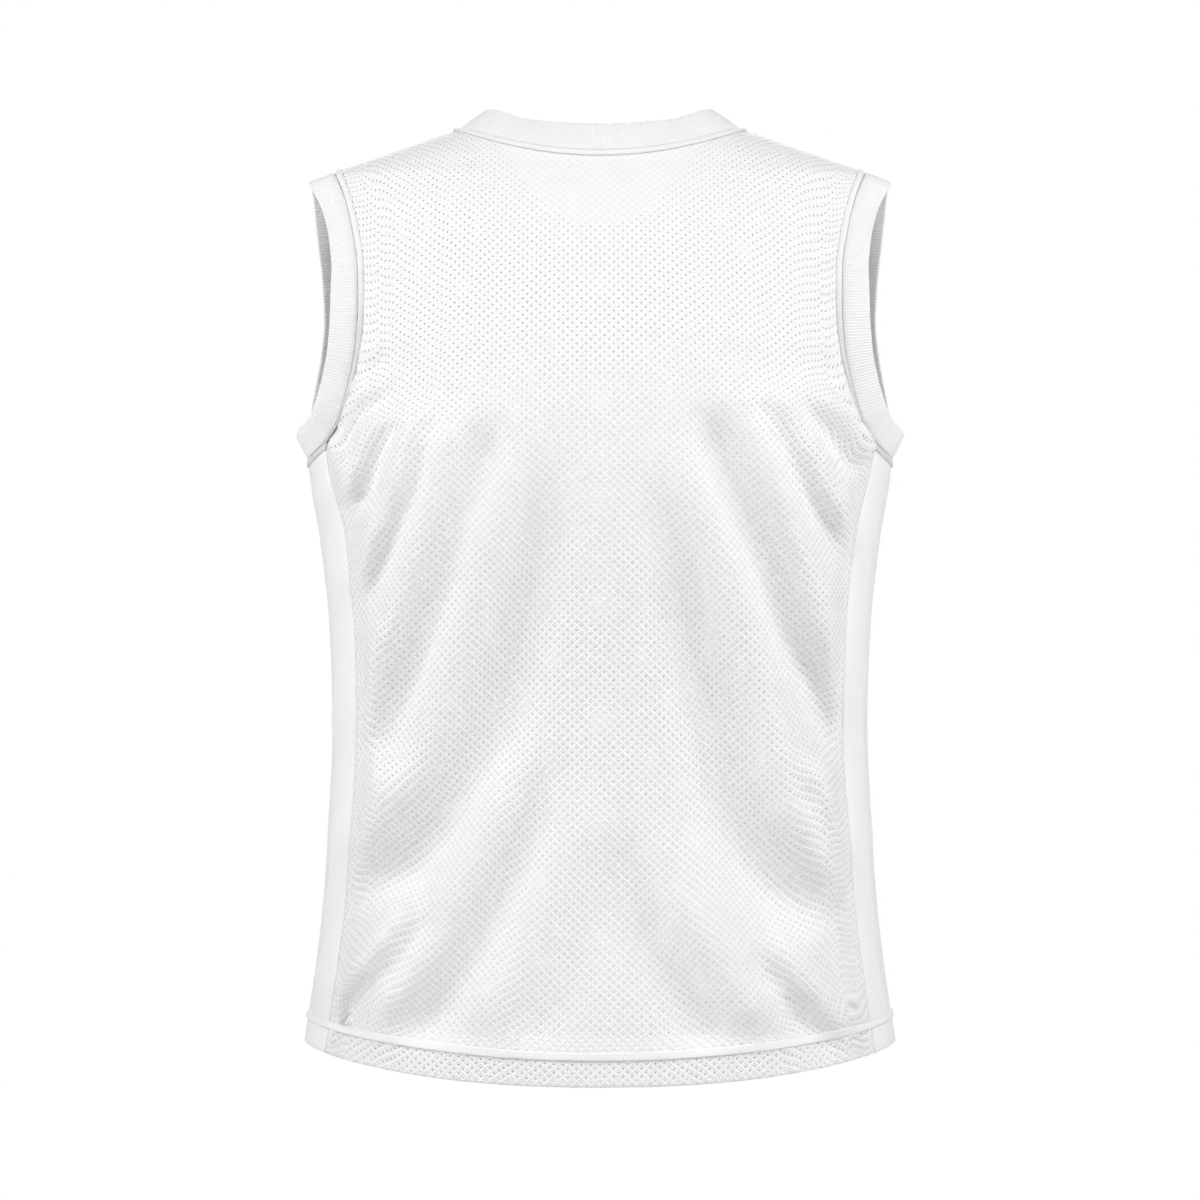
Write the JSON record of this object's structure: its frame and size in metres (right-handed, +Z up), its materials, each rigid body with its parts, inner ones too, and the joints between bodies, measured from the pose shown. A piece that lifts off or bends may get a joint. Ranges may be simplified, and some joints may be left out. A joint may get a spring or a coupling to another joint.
{
  "type": "flag football jersey filled out with no wearer",
  "caption": "Sleeveless mesh sports jersey in its worn, hollow shape, with a ribbed crew collar, ribbed armholes, plain knit side panels and a turned-up hem.",
  "frame": {"origin": "midway between the two points where the shoulder ridge meets the neck seam, where the jersey hangs on its wearer", "axes": "+Z up the wearer's body, +Y out of the wearer's chest, +X towards the wearer's right"},
  "size_m": [0.4538, 0.2483, 0.7173],
  "materials": {
    "mesh_knit": "white polyester sports mesh with small staggered holes and a soft sheen",
    "plain_knit": "white smooth polyester knit, matt with a soft sheen",
    "rib_knit": "white matt rib knit with fine upright ribs"
  },
  "bodies": {
    "root": {"back_panel": "mesh_knit", "front_panel": "mesh_knit", "side_panel_left": "plain_knit", "side_panel_right": "plain_knit", "collar_rib": "rib_knit", "armhole_rib_left": "rib_knit", "armhole_rib_right": "rib_knit", "collar_strip": "plain_knit", "armhole_strip_left": "plain_knit", "armhole_strip_right": "plain_knit", "hem_strip": "plain_knit"}
  },
  "joints": []
}
